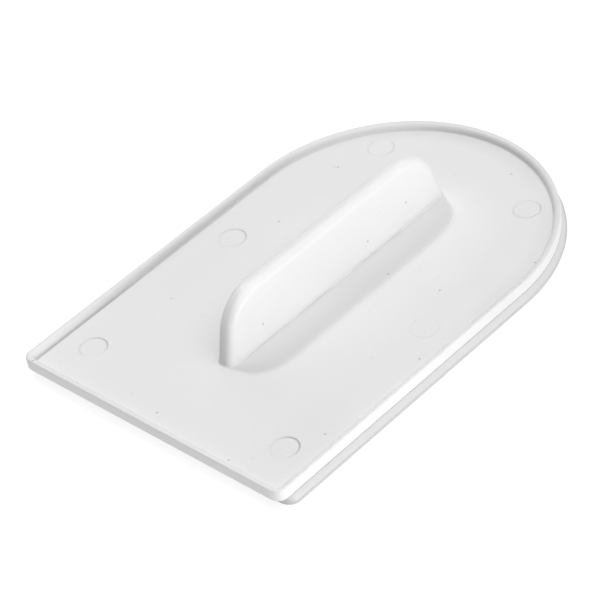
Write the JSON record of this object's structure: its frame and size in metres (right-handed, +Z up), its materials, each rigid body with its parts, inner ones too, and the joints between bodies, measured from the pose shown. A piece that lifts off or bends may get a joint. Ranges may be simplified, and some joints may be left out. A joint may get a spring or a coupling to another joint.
{
  "type": "icing smoother",
  "caption": "Hand smoother for sheet icing: D-shaped rimmed plate with a straight guide edge, upright rounded fin grip and a flat glossy sole.",
  "frame": {"origin": "middle of the underside, where the smoother rests on the icing or on a table", "axes": "+Z up through the fin, +Y along the fin towards the round end, -Y towards the straight guide edge, X across the width"},
  "size_m": [0.1026, 0.1513, 0.0246],
  "materials": {
    "plate_plastic": "satin gloss white moulded plastic",
    "fin_plastic": "satin gloss white moulded plastic",
    "sole_plastic": "polished white moulded plastic"
  },
  "bodies": {
    "root": {"rimmed_plate": "plate_plastic", "grip_fin": "fin_plastic", "sole_plate": "sole_plastic"}
  },
  "joints": []
}
